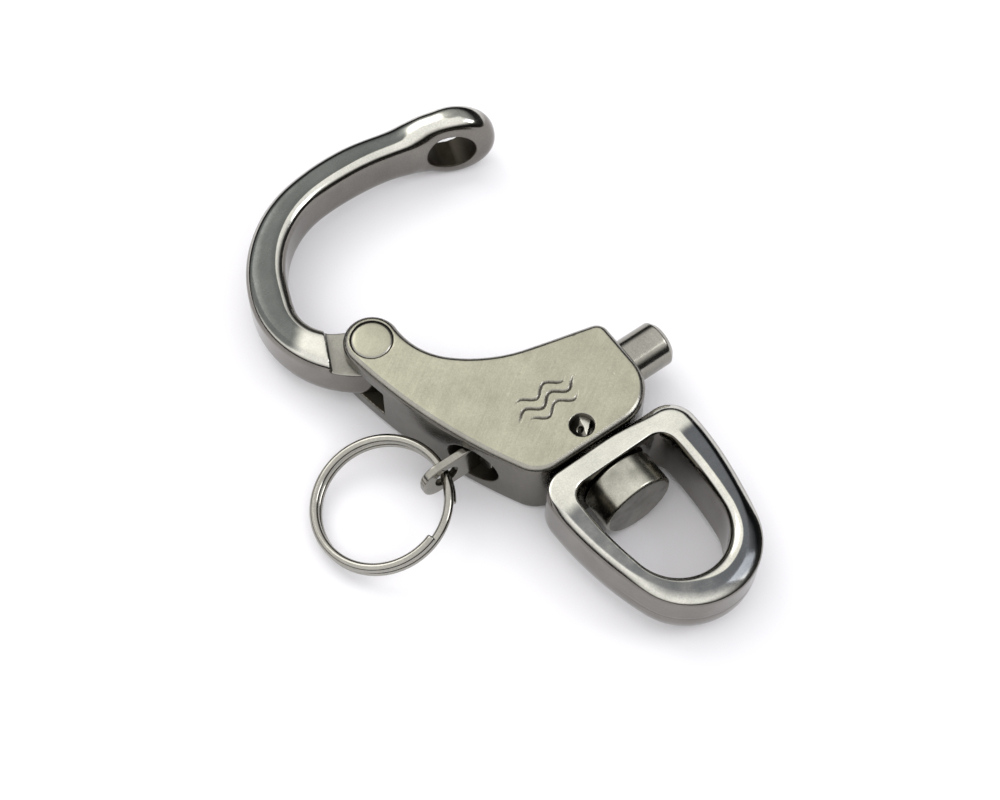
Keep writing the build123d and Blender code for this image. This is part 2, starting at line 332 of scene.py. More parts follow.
def eased(length, ends):
    """Samples from 0 to length, packed closer together within ends of either end."""
    middle = np.linspace(ends, length - ends, 420)
    first = np.linspace(0, ends, 4)[:-1]
    last = np.linspace(length - ends, length, 4)[1:]
    return np.concatenate((first, middle, last))


def block(name, low, high, turn=0.0, about=(0, 0)):
    """Box, turned about a vertical line through about."""
    verts = [(x, y, z) for x in (low[0], high[0]) for y in (low[1], high[1]) for z in (low[2], high[2])]
    way = heading(turn)
    moved = []
    for x, y, z in verts:
        dx, dy = x - about[0], y - about[1]
        moved.append((about[0] + dx * way[0] - dy * way[1], about[1] + dx * way[1] + dy * way[0], z))
    faces = [(0, 1, 3, 2), (4, 6, 7, 5), (0, 4, 5, 1), (2, 3, 7, 6), (0, 2, 6, 4), (1, 5, 7, 3)]
    return tidy_normals(new_object(name, moved, faces))


def apply(obj):
    """Bakes the modifiers into the mesh."""
    graph = bpy.context.evaluated_depsgraph_get()
    mesh = bpy.data.meshes.new_from_object(obj.evaluated_get(graph))
    obj.modifiers.clear()
    obj.data = mesh
    return obj


def cut(obj, cutters):
    """Subtracts the cutters and deletes them."""
    for cutter in cutters:
        modifier = obj.modifiers.new("cut", "BOOLEAN")
        modifier.operation = "DIFFERENCE"
        modifier.solver = "EXACT"
        modifier.object = cutter
    apply(obj)
    for cutter in cutters:
        bpy.data.objects.remove(cutter)
    return obj


def join(obj, others):
    """Adds the others' meshes, overlapping as they are, and deletes them."""
    bm = bmesh.new()
    bm.from_mesh(obj.data)
    for other in others:
        bm.from_mesh(other.data)
        bpy.data.objects.remove(other)
    bm.to_mesh(obj.data)
    bm.free()
    return obj


def remesh(obj, voxel):
    modifier = obj.modifiers.new("remesh", "REMESH")
    modifier.mode = "VOXEL"
    modifier.voxel_size = voxel
    return apply(obj)


def positions(obj):
    co = np.empty(len(obj.data.vertices) * 3)
    obj.data.vertices.foreach_get("co", co)
    return co.reshape(-1, 3)


def normals(obj):
    no = np.empty(len(obj.data.vertices) * 3)
    obj.data.vertices.foreach_get("normal", no)
    return no.reshape(-1, 3)


def set_positions(obj, co):
    obj.data.vertices.foreach_set("co", co.ravel())
    obj.data.update()


def relax(obj, rounds, weight=None):
    """Moves each vertex towards its neighbours' mean; weight is per vertex, from 0 to 1."""
    co = positions(obj)
    edges = np.empty(len(obj.data.edges) * 2, int)
    obj.data.edges.foreach_get("vertices", edges)
    a, b = edges.reshape(-1, 2).T
    count = np.bincount(a, minlength=len(co)) + np.bincount(b, minlength=len(co))
    pull = (np.ones(len(co)) if weight is None else weight)[:, None] * 0.6
    for _ in range(rounds):
        mean = np.empty_like(co)
        for k in range(3):
            mean[:, k] = np.bincount(a, co[b, k], len(co)) + np.bincount(b, co[a, k], len(co))
        mean /= count[:, None]
        co += (mean - co) * pull
    set_positions(obj, co)
    return obj


def waver(obj, amplitude, wavelength, seed):
    """Slow unevenness of a hand-finished surface, along the normals."""
    co = positions(obj)
    noise = np.zeros(len(co))
    source = np.random.default_rng(seed)
    for _ in range(8):
        way = source.normal(size=3)
        way *= 2 * math.pi / (wavelength * source.uniform(0.7, 1.6) * np.linalg.norm(way))
        noise += np.sin(co @ way + source.uniform(0, 6.28))
    set_positions(obj, co + normals(obj) * (noise * amplitude / 3)[:, None])
    return obj


def smooth(x, low, high):
    """0 below low, 1 above high, and an S curve between them."""
    t = np.clip((x - low) / (high - low), 0, 1)
    return t * t * (3 - 2 * t)


# ------------------------------------------------------------------ nodes
def feed(tree, value, socket):
    """Links an output to this socket, or sets a plain value on it."""
    if isinstance(value, bpy.types.NodeSocket):
        tree.links.new(value, socket)
    else:
        socket.default_value = value


def math_node(tree, operation, *values, kind="ShaderNodeMath"):
    """Calculation whose values are outputs or plain numbers."""
    node = tree.nodes.new(kind)
    node.operation = operation
    for value, socket in zip(values, node.inputs):
        feed(tree, value, socket)
    return node.outputs["Value"]


def vector_node(tree, operation, vector, factor):
    """Vector times a vector (MULTIPLY) or times a number (SCALE)."""
    node = tree.nodes.new("ShaderNodeVectorMath")
    node.operation = operation
    feed(tree, vector, node.inputs[0])
    feed(tree, factor, node.inputs["Scale"] if operation == "SCALE" else node.inputs[1])
    return node.outputs["Vector"]


def remap(tree, value, low, high, to_low=0.0, to_high=1.0, eased_ends=False):
    """Stretches the range from low to high onto the range from to_low to to_high."""
    node = tree.nodes.new("ShaderNodeMapRange")
    if eased_ends:
        node.interpolation_type = "SMOOTHSTEP"
    feed(tree, value, node.inputs["Value"])
    node.inputs["From Min"].default_value = low
    node.inputs["From Max"].default_value = high
    node.inputs["To Min"].default_value = to_low
    node.inputs["To Max"].default_value = to_high
    return node.outputs["Result"]


def noise(tree, vector, scale, detail, rough=0.55):
    node = tree.nodes.new("ShaderNodeTexNoise")
    node.inputs["Scale"].default_value = scale
    node.inputs["Detail"].default_value = detail
    node.inputs["Roughness"].default_value = rough
    tree.links.new(vector, node.inputs["Vector"])
    return node.outputs["Fac"]


def blend(tree, factor, first, second):
    """Mix of two colours, each an output or an (r, g, b, a)."""
    node = tree.nodes.new("ShaderNodeMix")
    node.data_type = "RGBA"
    feed(tree, factor, node.inputs["Factor"])
    feed(tree, first, node.inputs["A"])
    feed(tree, second, node.inputs["B"])
    return node.outputs["Result"]


def marked(tree, name):
    """Value that mark() stored on the mesh, or 0 where there is none."""
    node = tree.nodes.new("ShaderNodeAttribute")
    node.attribute_name = name
    return node.outputs["Fac"]


def ramp(tree, value, stops):
    """Colour ramp: stops are (place, colour or grey level)."""
    node = tree.nodes.new("ShaderNodeValToRGB")
    elements = node.color_ramp.elements
    while len(elements) < len(stops):
        elements.new(0.5)
    for element, (place, level) in zip(elements, stops):
        element.position = place
        element.color = (*level, 1) if isinstance(level, tuple) else (level, level, level, 1)
    tree.links.new(value, node.inputs[0])
    return node.outputs["Color"]


# ------------------------------------------------------------------ materials
def steel_colour(tree, place, brushed, facing, flat, colour, edge_colour, cloud, wall, dark_reflection_colour):
    """Flats and edges, clouded, peppered and faintly streaked, with painted shade: darker steep walls, a
    painted dark reflection on marked flats, and near black in marked recesses.
    """
    edges = (*edge_colour, 1)
    if wall:
        # painted shade: steep sides are darker than the polished bevels above them, standing in for the
        # shaded floor that they reflect
        edges = ramp(tree, facing, [(0.0, wall), (0.6, wall), (0.78, edge_colour)])
    base = blend(tree, flat, edges, (*colour, 1))
    if dark_reflection_colour:
        # painted dark reflection: the flats are darker where the mesh is marked for it, with a wandering
        # edge
        wander = noise(tree, place, 420.0, 3.0)
        drift = math_node(tree, "MULTIPLY_ADD", wander, 0.2, marked(tree, "reflection_dark"))
        base = blend(tree, remap(tree, drift, 0.35, 0.95, eased_ends=True), base, (*dark_reflection_colour, 1))
    shade = remap(tree, noise(tree, place, 150.0, 3.0), 0.3, 0.7, 1 - cloud, 1 + cloud * 0.5)
    wide_streaks = vector_node(tree, "SCALE", brushed, 0.6)
    streaked = remap(tree, noise(tree, wide_streaks, 1.0, 2.0, 0.5), 0.25, 0.75, 0.95, 1.04)
    peppered = remap(tree, noise(tree, place, 3600.0, 3.0, 0.7), 0.3, 0.7, 0.86, 1.08)
    finer = math_node(tree, "MULTIPLY", peppered, streaked)
    tinted = vector_node(tree, "SCALE", base, math_node(tree, "MULTIPLY", shade, finer))
    # painted shade: near black where the mesh is marked as a shaded recess
    return blend(tree, marked(tree, "recess_shade"), tinted, (*SHADE_BLACK, 1))


def steel_roughness(tree, place, flat, flat_rough, edge_rough):
    """Satin flats and polished edges, smudged everywhere, and rougher where the mesh is marked as a
    shaded recess.
    """
    level = remap(tree, flat, 0.0, 1.0, edge_rough, flat_rough)
    soil = remap(tree, noise(tree, place, 420.0, 4.0, 0.65), 0.35, 0.75, 0.85, 1.35)
    rough = math_node(tree, "MULTIPLY", level, soil)
    return math_node(tree, "MULTIPLY_ADD", marked(tree, "recess_shade"), 0.45, rough)


def steel_relief(tree, place, brushed, flat, depth, pits):
    """Bump: brushing, mostly on the flats, a fine grain and a few pits."""
    brushing = noise(tree, brushed, 1.0, 3.0, 0.7)
    lines = math_node(tree, "MULTIPLY", brushing, remap(tree, flat, 0.0, 1.0, 0.15, 1.0))
    height = math_node(tree, "MULTIPLY_ADD", noise(tree, place, 3600.0, 3.0, 0.7), 0.6, lines)
    if pits:
        cells = tree.nodes.new("ShaderNodeTexVoronoi")
        cells.inputs["Scale"].default_value = 210.0
        tree.links.new(place, cells.inputs["Vector"])
        hollow = remap(tree, cells.outputs["Distance"], 0.0, 0.07, -pits, 0.0, eased_ends=True)
        height = math_node(tree, "ADD", height, hollow)
    bump = tree.nodes.new("ShaderNodeBump")
    bump.inputs["Distance"].default_value = depth
    bump.inputs["Strength"].default_value = 1.0
    tree.links.new(height, bump.inputs["Height"])
    return bump.outputs["Normal"]


def steel(
    name,
    colour,
    edge_colour,
    flat_rough,
    edge_rough,
    streak=(60.0, 2600.0, 60.0),
    streak_turn=(0.0, 0.0, 0.0),
    streak_depth=0.00002,
    flat_axis=2,
    cloud=0.12,
    pits=0.0,
    wall=None,
    dark_reflection_colour=None,
):
    """Stainless steel: brushed where the surface faces along flat_axis, polished elsewhere.

    streak is the brushing's noise scale along each axis, turned by streak_turn degrees.
    """
    material = bpy.data.materials.new(name)
    material.use_nodes = True
    tree = material.node_tree
    shader = tree.nodes["Principled BSDF"]
    coords = tree.nodes.new("ShaderNodeTexCoord")
    place = coords.outputs["Object"]
    split = tree.nodes.new("ShaderNodeSeparateXYZ")
    tree.links.new(coords.outputs["Normal"], split.inputs[0])
    facing = math_node(tree, "ABSOLUTE", split.outputs[flat_axis])
    flat = remap(tree, facing, 0.93, 0.99, eased_ends=True)
    turned = tree.nodes.new("ShaderNodeMapping")
    turned.vector_type = "TEXTURE"
    turned.inputs["Rotation"].default_value = [math.radians(a) for a in streak_turn]
    tree.links.new(place, turned.inputs["Vector"])
    brushed = vector_node(tree, "MULTIPLY", turned.outputs["Vector"], streak)

    tint = steel_colour(tree, place, brushed, facing, flat, colour, edge_colour, cloud, wall, dark_reflection_colour)
    shader.inputs["Metallic"].default_value = 1.0
    tree.links.new(tint, shader.inputs["Base Color"])
    tree.links.new(steel_roughness(tree, place, flat, flat_rough, edge_rough), shader.inputs["Roughness"])
    tree.links.new(steel_relief(tree, place, brushed, flat, streak_depth, pits), shader.inputs["Normal"])
    return material


WARM = (0.375, 0.365, 0.28)
PALE = (0.60, 0.59, 0.52)
# painted dark reflection for the flats of the bow and of the eye
BOW_REFLECTION_DARK = (0.11, 0.116, 0.108)
EYE_REFLECTION_DARK = (0.10, 0.105, 0.110)
BRIGHT = (0.58, 0.57, 0.52)
# painted shade for the steep walls of the bow and the eye
SHADED_WALL = (0.20, 0.188, 0.17)
SIDE = (0.155, 0.148, 0.128)
RIM = (0.30, 0.29, 0.255)
BUTTON_RIM = (0.42, 0.41, 0.35)
DARK = (0.21, 0.20, 0.18)
# near black painted shade for holes, grooves and the gaps between parts
SHADE_BLACK = (0.03, 0.024, 0.016)
STEEL = (0.34, 0.33, 0.295)
FINE = (500.0, 900.0, 500.0)
WIRE = (700.0, 700.0, 700.0)
BRUSH_TURN = (0, 0, 32)
hand_polished_shaded_walls = {"edge_rough": 0.12, "streak": FINE, "streak_depth": 0.00001, "wall": SHADED_WALL}
drawn_wire = {"streak": WIRE, "streak_depth": 0.000006}
body_steel = steel(
    "body_steel",
    WARM,
    RIM,
    flat_rough=0.36,
    edge_rough=0.2,
    streak=(180.0, 2600.0, 180.0),
    streak_turn=BRUSH_TURN,
    streak_depth=0.00004,
    pits=1.2,
    # painted shade: the body's steep walls take this darker colour
    wall=SIDE,
)
rivet_steel = steel("rivet_steel", WARM, RIM, flat_rough=0.34, edge_rough=0.22, streak_turn=BRUSH_TURN)
bow_steel = steel("bow_steel", PALE, BRIGHT, flat_rough=0.30, dark_reflection_colour=BOW_REFLECTION_DARK, **hand_polished_shaded_walls)
eye_steel = steel("eye_steel", PALE, BRIGHT, flat_rough=0.26, dark_reflection_colour=EYE_REFLECTION_DARK, **hand_polished_shaded_walls)
lock_steel = steel(
    "lock_steel",
    PALE,
    SIDE,
    flat_rough=0.34,
    edge_rough=0.22,
    streak_turn=BRUSH_TURN,
    streak_depth=0.00001,
)
button_steel = steel(
    "button_steel",
    DARK,
    BUTTON_RIM,
    flat_rough=0.34,
    edge_rough=0.24,
    streak=(2600.0, 60.0, 90.0),
    streak_turn=(0, 20, 0),
    flat_axis=1,
    cloud=0.5,
)
turned_steel = steel(
    "turned_steel",
    SIDE,
    RIM,
    flat_rough=0.28,
    edge_rough=0.16,
    streak=(3200.0, 20.0, 20.0),
    streak_depth=0.000006,
    flat_axis=0,
)
ring_steel = steel("ring_steel", STEEL, STEEL, flat_rough=0.14, edge_rough=0.12, **drawn_wire)
wire_steel = steel("wire_steel", SIDE, SIDE, flat_rough=0.3, edge_rough=0.25, **drawn_wire)

# ------------------------------------------------------------------ marks and finishing
def mark(obj, name, values):
    """Stores a value from 0 to 1 on each vertex, for the material to read."""
    layer = obj.data.attributes.new(name, "FLOAT", "POINT")
    layer.data.foreach_set("value", np.asarray(values, dtype=np.float32))


def reflection_dark_mask(obj, middle, bevel):
    """Where a D or C shaped piece gets a painted dark reflection: its flats and some bevel that faces
    outwards.
    """
    co, no = positions(obj), normals(obj)
    out = co[:, :2] - np.array(middle)
    out /= np.linalg.norm(out, axis=1)[:, None]
    outward = smooth((no[:, :2] * out).sum(axis=1), -0.2, 0.05)
    up = np.abs(no[:, 2])
    return outward * smooth(up, bevel - 0.3, bevel) + (1 - outward) * smooth(up, 0.95, 0.99)


def settle(obj, body, material, nodes, sharp=None):
    """Turns a finished solid into a piece: metres, smooth shading, material and body, and hides the CAD
    parts that it replaces.
    """
    obj.data.transform(Matrix.Scale(0.001, 4))
    obj.data.polygons.foreach_set("use_smooth", [True] * len(obj.data.polygons))
    if sharp is not None:
        obj.data.set_sharp_from_angle(angle=math.radians(sharp))
    obj.data.materials.clear()
    obj.data.materials.append(material)
    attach(obj, body)
    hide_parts(*nodes)
    return obj


# ------------------------------------------------------------------ body
def wavelet(u, v, shift, half, width, phase):
    """Depth of one wavy groove along u, which fades out at half its length."""
    height, length, deepest = 0.75, 5.2, 0.26
    turn = u * 2 * math.pi / length + phase
    crest = height * np.sin(turn) + shift
    slant = np.sqrt(1 + (height * 2 * math.pi / length * np.cos(turn)) ** 2)
    taper = np.clip((half - np.abs(u)) / 2.0, 0, 1) ** 0.6
    groove = np.clip(1 - (np.abs(v - crest) / slant / (width * taper + 1e-6)) ** 2, 0, 1)
    return deepest * groove * taper * (np.abs(u) < half)


def engrave(obj, level):
    """A row of three wavelets cut into the flat face at this height, and a few small dents."""
    co = positions(obj)
    way = heading(2)
    local = co[:, :2] - np.array((-2.6, -0.6))
    u = local @ way
    v = local @ np.array((-way[1], way[0]))
    depth = np.zeros(len(co))
    for k, (shift, half, width) in enumerate(((1.9, 5.0, 0.19), (0.0, 6.6, 0.23), (-1.9, 5.0, 0.19))):
        depth = np.maximum(depth, wavelet(u, v, shift, half, width, 0.3 * k))
    for _ in range(7):
        x, y = rng.uniform(-10, 9), rng.uniform(-6, 14)
        size = rng.uniform(0.2, 0.45)
        gap = ((co[:, 0] - x) ** 2 + ((co[:, 1] - y) * 1.7) ** 2) / size**2
        depth = np.maximum(depth, rng.uniform(0.03, 0.07) * np.exp(-gap))
    depth *= co[:, 2] > level - 0.25
    co[:, 2] -= depth
    set_positions(obj, co)
    return depth


bore = PLUNGER_RADIUS + 0.08
rod_hole = SHANK_RADIUS + 0.08
stem_bore = PIN_STEM + 0.03
body = plate("body_casting", body_outline(), rounded(0, HEIGHT, 1.0, 1.0, fullness=0.6))
cut(
    body,
    [
        block("slot", (-40, 17.4, MID - SLOT_WIDTH / 2), (20, 60, MID + SLOT_WIDTH / 2)),
        upright_cylinder("shank_hole", PIVOT, RIVET_SHANK + 0.04, *THROUGH),
        upright_cylinder("low_seat", PIVOT, RIVET_HEAD + 0.07, THROUGH[0], RIVET_SEAT),
        upright_cylinder("high_seat", PIVOT, RIVET_HEAD + 0.07, HEIGHT - RIVET_SEAT, THROUGH[1]),
        upright_cylinder("pin_hole", LOCK_CENTRE, LOCK_HOLE, *THROUGH),
        lathe("bore", [(bore, -11.5), (bore, 30)], (0, 0, MID), (1, 0, 0)),
        lathe("rod_hole", [(rod_hole, -14), (rod_hole, -10)], (0, 0, MID), (1, 0, 0)),
        lathe("mouth", [(MOUTH, -33), (MOUTH, -13)], (0, 0, MID), (1, 0, 0)),
        lathe("stem_bore", [(stem_bore, 4.85), (stem_bore, 25)], (0, 0, MID), (0, -1, 0)),
    ],
)
remesh(body, 0.15)
relax(body, 3)
waver(body, 0.012, 9.0, 5)
engraved = engrave(body, HEIGHT)

# painted shade, near black, in the slot, the mouth of the bore, the lock pin's hole and the engraving's
# grooves
co = positions(body)
from_lock = np.hypot(co[:, 0] - LOCK_CENTRE[0], co[:, 1] - LOCK_CENTRE[1])
in_slot = (np.abs(co[:, 2] - MID) < SLOT_WIDTH / 2 + 0.05) & (co[:, 1] > 17.2)
in_pin_hole = (from_lock < 2.2) & (co[:, 2] < HEIGHT - 0.3)
in_mouth = (np.hypot(co[:, 1], co[:, 2] - MID) < MOUTH + 0.15) & (co[:, 0] < 5)
cavities = 0.9 * (in_slot | in_mouth) + 0.6 * in_pin_hole
mark(body, "recess_shade", np.maximum(cavities, 0.85 * smooth(engraved, 0.08, 0.2)))
settle(body, "body", body_steel, ["body"])

# ------------------------------------------------------------------ rivet
half = [(RIVET_SHANK, 0.0), (RIVET_SHANK, MID - RIVET_SEAT), (RIVET_HEAD, MID - RIVET_SEAT)]
half += [(RIVET_HEAD, MID - 0.45), (RIVET_HEAD - 0.05, MID - 0.3), (RIVET_HEAD - 0.2, MID - 0.18)]
half += [(3.2 * t, MID - 0.12 * t**2) for t in (0.95, 0.8, 0.6, 0.4, 0.2, 0.01)]
both_halves = [(r, -z) for r, z in half[::-1]] + half[1:]
rivet = lathe("rivet", both_halves, (*PIVOT, MID), (0, 0, 1))
settle(rivet, "body", rivet_steel, ["pivot_rivet"], 28)

# ------------------------------------------------------------------ bow
BORE_AT = (-PIVOT[0], -PIVOT[1])  # where the plunger's axis crosses the swivel's, from the pivot
boss_axis = heading(BOSS_TURN)
boss_foot = np.array((16.0 + BORE_AT[0], BORE_AT[1] - 0.5))
arm = plate("bow_arm", bow_outline(), rounded(-BOW_HEIGHT / 2, BOW_HEIGHT / 2, 2.2, 1.9, 2.8, 3.4))
tang_end = 7.4
cut(
    arm,
    [
        block("tang_top", (-22, -24, TANG_HALF), (24, tang_end, 9), -8, (0, tang_end)),
        block("tang_low", (-22, -24, -9), (24, tang_end, -TANG_HALF), -8, (0, tang_end)),
    ],
)
join(
    arm,
    [
        lens("boss", BOSS_RADIUS + 0.75, 5.6, boss_foot, boss_axis, 2.2),
        lens("neck", 6.7, 5.2, boss_foot + (0.7, 3.2), boss_axis, 1.8),
        lens("wrist", 5.7, 5.2, boss_foot + (0.6, 6.4), boss_axis, 1.6),
        lens("fore_wrist", 5.0, 5.2, boss_foot + (0.3, 9.6), boss_axis, 1.6),
    ],
)
remesh(arm, 0.15)
relax(arm, 2)

# a long relaxation melts the boss, the discs beside it and the arm into one another
from_boss = np.linalg.norm(positions(arm)[:, :2] - (boss_foot + (2.5, 3.0)), axis=1)
relax(arm, 170, 1 - smooth(from_boss, 8.0, 18.0))
cut(
    arm,
    [
        lathe("boss_hole", [(BOSS_HOLE, 12.0), (BOSS_HOLE, 25.0)], (*BORE_AT, 0), (1, 0, 0)),
        upright_cylinder("hinge_hole", (0, 0), RIVET_SHANK + 0.08, -9, 9),
    ],
)
remesh(arm, 0.15)
relax(arm, 4)
waver(arm, 0.014, 8.0, 9)

# painted shade in the boss's hole and on the tang, and a painted dark reflection on the flat from the
# shoulder to the neck
co = positions(arm)
from_bore = np.hypot(co[:, 1] - BORE_AT[1], co[:, 2])
from_hinge = np.hypot(co[:, 0], co[:, 1])
in_bore = (1 - smooth(from_bore, BOSS_HOLE + 0.05, BOSS_HOLE + 0.3)) * (co[:, 0] > 30)
on_flat = np.abs(normals(arm)[:, 2]) > 0.5
on_tang = (np.abs(co[:, 2]) < TANG_HALF + 0.15) * (from_hinge < 11.0) * on_flat
mark(arm, "recess_shade", np.maximum(0.95 * in_bore, 0.5 * on_tang))
reflection_dark_reach = smooth(from_hinge, 9.0, 15.0) * (0.65 + 0.35 * smooth(co[:, 1], -21.0, -15.0))
mark(arm, "reflection_dark", reflection_dark_reach * reflection_dark_mask(arm, (18.0, -6.0), 0.92))
opened = Matrix.Rotation(math.radians(BOW_ANGLE), 4, "Z")
arm.data.transform(Matrix.Translation((*PIVOT, MID)) @ opened)
settle(arm, "bow", bow_steel, ["bow"])

# ------------------------------------------------------------------ plunger
shank = [(SHANK_RADIUS, -15.1), (SHANK_RADIUS, SPRING_SEAT)]
head = [(PLUNGER_RADIUS, SPRING_SEAT), (PLUNGER_RADIUS, PLUNGER_TIP - 0.95)]
nose = [(3.93, PLUNGER_TIP - 0.8), (3.2, PLUNGER_TIP - 0.08), (3.08, PLUNGER_TIP)]
rod = lathe("plunger_rod", shank + head + nose, (0, 0, MID), (1, 0, 0))
tab_outline = []
for centre, first in (((-16.2, 0.6), 0), ((-23.2, 0.6), 90), ((-23.2, -0.6), 180), ((-16.2, -0.6), 270)):
    tab_outline += round_run(centre, TAB_CORNER, first, first + 90)
tab = plate("tab", np.array(tab_outline), rounded(-TAB_Y[1], -TAB_Y[0], 0.18, 0.18))
tab.data.transform(Matrix.Translation((0, 0, MID)) @ Matrix.Rotation(math.radians(90), 4, "X"))
tidy_normals(tab)
cut(tab, [lathe("tab_hole", [(2.2, -3), (2.2, 6)], (TAB_HOLE_X, 0, MID), (0, 1, 0))])
join(rod, [tab])
remesh(rod, 0.12)
relax(rod, 3)
settle(rod, "plunger", turned_steel, ["plunger"])

# ------------------------------------------------------------------ split ring
ring_radius = (RING_DIAMETER - RING_WIRE) / 2
tilt = math.radians(14.5)
toward = heading(-13.0)
slope = np.array((*(math.cos(tilt) * toward), math.sin(tilt)))
ring_axis = np.array((*(-math.sin(tilt) * toward), math.cos(tilt)))
across = np.cross(ring_axis, slope)
in_tab_hole = np.array((TAB_HOLE_X, sum(TAB_Y) / 2, MID - 0.4))
ring_foot = in_tab_hole - slope * ring_radius - ring_axis * RING_PITCH * (0.5 + RING_LEAD / 360)
ring_path = []
for a in eased(RING_TURNS * 360, 1.2):
    b = math.radians(a - RING_LEAD)
    round_ring = ring_radius * (slope * math.cos(b) + across * math.sin(b))
    ring_path.append(ring_foot + round_ring + ring_axis * RING_PITCH * a / 360)
ring = tube("split_ring_wire", ring_path, RING_WIRE / 2, 28)
settle(ring, "ring", ring_steel, ["split_ring"], 40)

# ------------------------------------------------------------------ plunger spring
spring_path = []
for a in eased(SPRING_TURNS * 360, 2.0):
    b = math.radians(a)
    x = SPRING_START + a / 360 * SPRING_LENGTH / SPRING_TURNS
    spring_path.append((x, SPRING_RADIUS * math.cos(b), MID + SPRING_RADIUS * math.sin(b)))
spring = tube("coil_spring", spring_path, SPRING_WIRE / 2, 14)
settle(spring, "body", wire_steel, ["plunger_spring"], 40)
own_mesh(spring)

# ------------------------------------------------------------------ swivel eye
eye_z = (MID - EYE_HALF, MID + EYE_HALF)
outer = d_outline(top_y=-11.5, side=58.0, end=EYE_END, end_y=EYE_END_Y, turn=18, corner=4.6)
inner = d_outline(top_y=-15.6, side=70.0, end=8.6, end_y=-38.7, turn=10, corner=2.6)

# the outline stands further out on the side of the plunger's tip, most of all beside the bar
outer[:, 0] += 0.6 + 0.6 * smooth(outer[:, 1], -32, -14) * smooth(outer[:, 0], 0, 10)

# the outer bevel is narrow along the bar and wide round the end
beyond_bar = np.maximum(smooth(-outer[:, 1], 12.5, 19.0), smooth(outer[:, 0], 0.0, 13.0))
bevel_share = 0.12 + beyond_bar * (0.35 + 0.22 * smooth(outer[:, 0], -5, 9))
bevel_share += 0.34 * smooth(-outer[:, 1], 31, 40)
eye_profile = rounded(*eye_z, inset=2.6, rise=1.35, low_inset=3.6, low_rise=5.4, fullness=0.3)
eye = plate("eye_ring", outer, eye_profile, bevel_share)

# the opening flares, most of all at the end
flare_share = 0.2 + smooth(-inner[:, 1], 17.0, 23.0) * (0.2 + 0.25 * smooth(inner[:, 0], -7, 7))
flare_share += 0.3 * smooth(-inner[:, 1], 30.0, 38.0)
flare = [(-d, z) for d, z in rounded(*eye_z, inset=2.2, rise=1.6)]
flare = [(flare[0][0], eye_z[0] - 1)] + flare + [(flare[-1][0], eye_z[1] + 1)]
cut(
    eye,
    [
        plate("eye_hole", inner, flare, flare_share),
        lathe("eye_bore", [(4.15, 9), (4.15, 18)], (0, 0, MID), (0, -1, 0)),
    ],
)
remesh(eye, 0.16)
relax(eye, 6)
waver(eye, 0.014, 9.0, 21)

# mould parting line round the outside of the end
co = positions(eye)
parting = np.exp(-(((co[:, 2] - MID) / 0.13) ** 2)) * np.clip((-30 - co[:, 1]) / 6, 0, 1)
outside = np.hypot(co[:, 0], co[:, 1] - EYE_END_Y - EYE_END) > EYE_END - 1.5
set_positions(eye, co - normals(eye) * (0.07 * parting * outside)[:, None])

# painted dark reflection on the flats beyond the bar, except for a polished strip round the opening
past_bar = smooth(-co[:, 1], 15.5, 19.5) * (0.72 + 0.28 * smooth(co[:, 0], -5, 5))
from_hole = np.full(len(co), 99.0)
for x, y in inner:
    from_hole = np.minimum(from_hole, np.hypot(co[:, 0] - x, co[:, 1] - y))
polished = 0.3 + 0.95 * smooth(co[:, 0], -6, 2) + 0.5 * smooth(-co[:, 1], 33, 39)
past_strip = smooth(from_hole - polished, 0, 0.5)
mark(eye, "reflection_dark", past_bar * past_strip * reflection_dark_mask(eye, (0, -28.0), 0.97))

# it hangs slightly askew on its pin
seat = Matrix.Translation((0, EYE_AXIS_Y, MID))
askew = Matrix.Rotation(math.radians(1.5), 4, "Z") @ Matrix.Rotation(math.radians(2), 4, "Y")
eye.data.transform(seat @ askew @ seat.inverted())
settle(eye, "eye", eye_steel, ["swivel_eye"])

# ------------------------------------------------------------------ swivel pin
stem = [(AXIS, 5.0), (PIN_STEM, 5.0), (PIN_STEM, PIN_HEAD_FROM)]
under = [(PIN_HEAD - 0.4 + 0.4 * math.sin(a), PIN_HEAD_FROM + 0.4 * (1 - math.cos(a))) for a in BEND]
rim = [(PIN_HEAD - 0.6 + 0.6 * math.cos(a), PIN_END - 0.6 + 0.6 * math.sin(a)) for a in BEND]
end = [((PIN_HEAD - 0.6) * t, PIN_END) for t in (0.7, 0.4, 0.01)]
pin = lathe("headed_pin", stem + under + rim + end, (0, 0, MID), (0, -1, 0), 192)
cut(pin, [upright_cylinder("cross_hole", LOCK_CENTRE, LOCK_HOLE, *THROUGH)])
settle(pin, "body", button_steel, ["swivel_pin"], 30)


# ------------------------------------------------------------------ lock pin
def lock_top(x, y):
    """Height of the pin's end: a worn slope to one side of a ridge, a punch mark and a broken edge."""
    across = RIDGE_WAY[0] * x + RIDGE_WAY[1] * y
    up = RIDGE_WAY[0] * y - RIDGE_WAY[1] * x
    ridge = across - 0.35 * (1.2 - up)
    slope = 0.5 * max(0.0, -ridge) ** 1.4 + 0.1 * max(0.0, ridge)
    dimple = 0.8 * math.exp(-((across + 0.25) ** 2 + (up + 0.1) ** 2) / 0.12)
    chip = 1.8 * smooth(across - 0.25 * up, 1.1, 1.3)
    return 12.9 - slope - dimple - chip


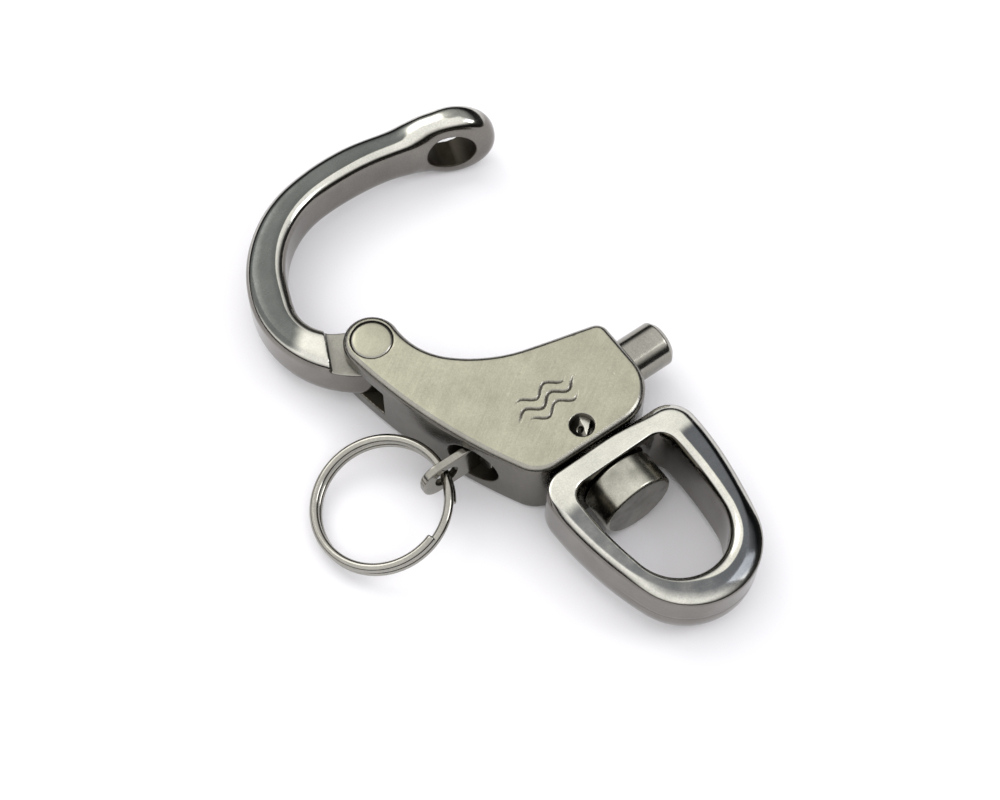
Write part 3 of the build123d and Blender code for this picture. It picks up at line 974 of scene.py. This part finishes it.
def lock_mesh(rings=27, segments=96):
    """Rings out over the worn end, then down the side to a chamfered lower end."""
    verts = []
    for k in range(rings):
        r = LOCK_RADIUS * max(k / (rings - 1), 0.002)
        for i in range(segments):
            a = 2 * math.pi * i / segments
            x, y = r * math.cos(a), r * math.sin(a)
            verts.append((LOCK_CENTRE[0] + x, LOCK_CENTRE[1] + y, lock_top(x, y)))
    for r, z in ((LOCK_RADIUS, 0.6), (LOCK_RADIUS - 0.1, 0.5)):
        for i in range(segments):
            a = 2 * math.pi * i / segments
            verts.append((LOCK_CENTRE[0] + r * math.cos(a), LOCK_CENTRE[1] + r * math.sin(a), z))
    return tidy_normals(new_object("cross_pin", verts, skin(rings + 2, segments)))


settle(lock_mesh(), "body", lock_steel, ["lock_pin"], 35)

# ------------------------------------------------------------------ floor, in metres
reach = 1.5
corners = [(-reach, -reach, 0), (reach, -reach, 0), (reach, reach, 0), (-reach, reach, 0)]
floor = new_object("floor", corners, [(0, 1, 2, 3)])
floor.location = (0, 0, cad_box[0][2] - 0.0001)
paper = bpy.data.materials.new("paper")
paper.use_nodes = True
paper_shader = paper.node_tree.nodes["Principled BSDF"]
paper_shader.inputs["Base Color"].default_value = (0.925, 0.915, 0.94, 1)
paper_shader.inputs["Roughness"].default_value = 0.9
paper_shader.inputs["Specular IOR Level"].default_value = 0.1
floor.data.materials.append(paper)

# ------------------------------------------------------------------ light
# the sky is dark at the horizon and white above, and its edge stands higher on one side
world = bpy.data.worlds.new("studio")
bpy.context.scene.world = world
world.use_nodes = True
sky = world.node_tree
direction = sky.nodes.new("ShaderNodeTexCoord").outputs["Generated"]
axes = sky.nodes.new("ShaderNodeSeparateXYZ")
sky.links.new(direction, axes.inputs[0])
lean = math_node(sky, "DOT_PRODUCT", direction, (0.95, -0.3, 0.0), kind="ShaderNodeVectorMath")
spread = math_node(sky, "MULTIPLY_ADD", lean, 0.5, 1.0)
climb = math_node(sky, "DIVIDE", axes.outputs["Z"], spread)
glow = ramp(sky, climb, [(0.0, 0.02), (0.30, 0.03), (0.42, 0.5), (0.55, 1.0), (1.0, 1.1)])
sky.nodes["Background"].inputs["Strength"].default_value = 1.3
sky.links.new(glow, sky.nodes["Background"].inputs["Color"])


def area(name, place, size, power, colour):
    """Square lamp that faces the middle of the shackle."""
    data = bpy.data.lights.new(name, "AREA")
    data.shape = "RECTANGLE"
    data.size = size
    data.size_y = size
    data.energy = power
    data.color = colour
    lamp = bpy.data.objects.new(name, data)
    bpy.context.scene.collection.objects.link(lamp)
    lamp.location = place
    lamp.rotation_euler = (Vector((0, 0.01, 0)) - Vector(place)).to_track_quat("-Z", "Y").to_euler()


area("overhead", (-0.05, 0.45, 0.45), 0.30, 0.6, (1.0, 0.985, 0.96))
area("right", (0.38, -0.28, 0.42), 0.25, 0.8, (0.95, 0.96, 1.0))

# ------------------------------------------------------------------ camera
camera_data = bpy.data.cameras.new("camera")
camera_data.lens = 79.2
camera_data.sensor_width = 36
camera_data.clip_start = 0.01
camera = bpy.data.objects.new("camera", camera_data)
bpy.context.scene.collection.objects.link(camera)
camera.location = (-0.10672, -0.13087, 0.32693)
aim = Vector((-0.004544, 0.009761, 0)) - camera.location
camera.rotation_euler = aim.to_track_quat("-Z", "Y").to_euler()
bpy.context.scene.camera = camera
bpy.context.scene.view_settings.view_transform = "Standard"

bpy.context.view_layer.update()
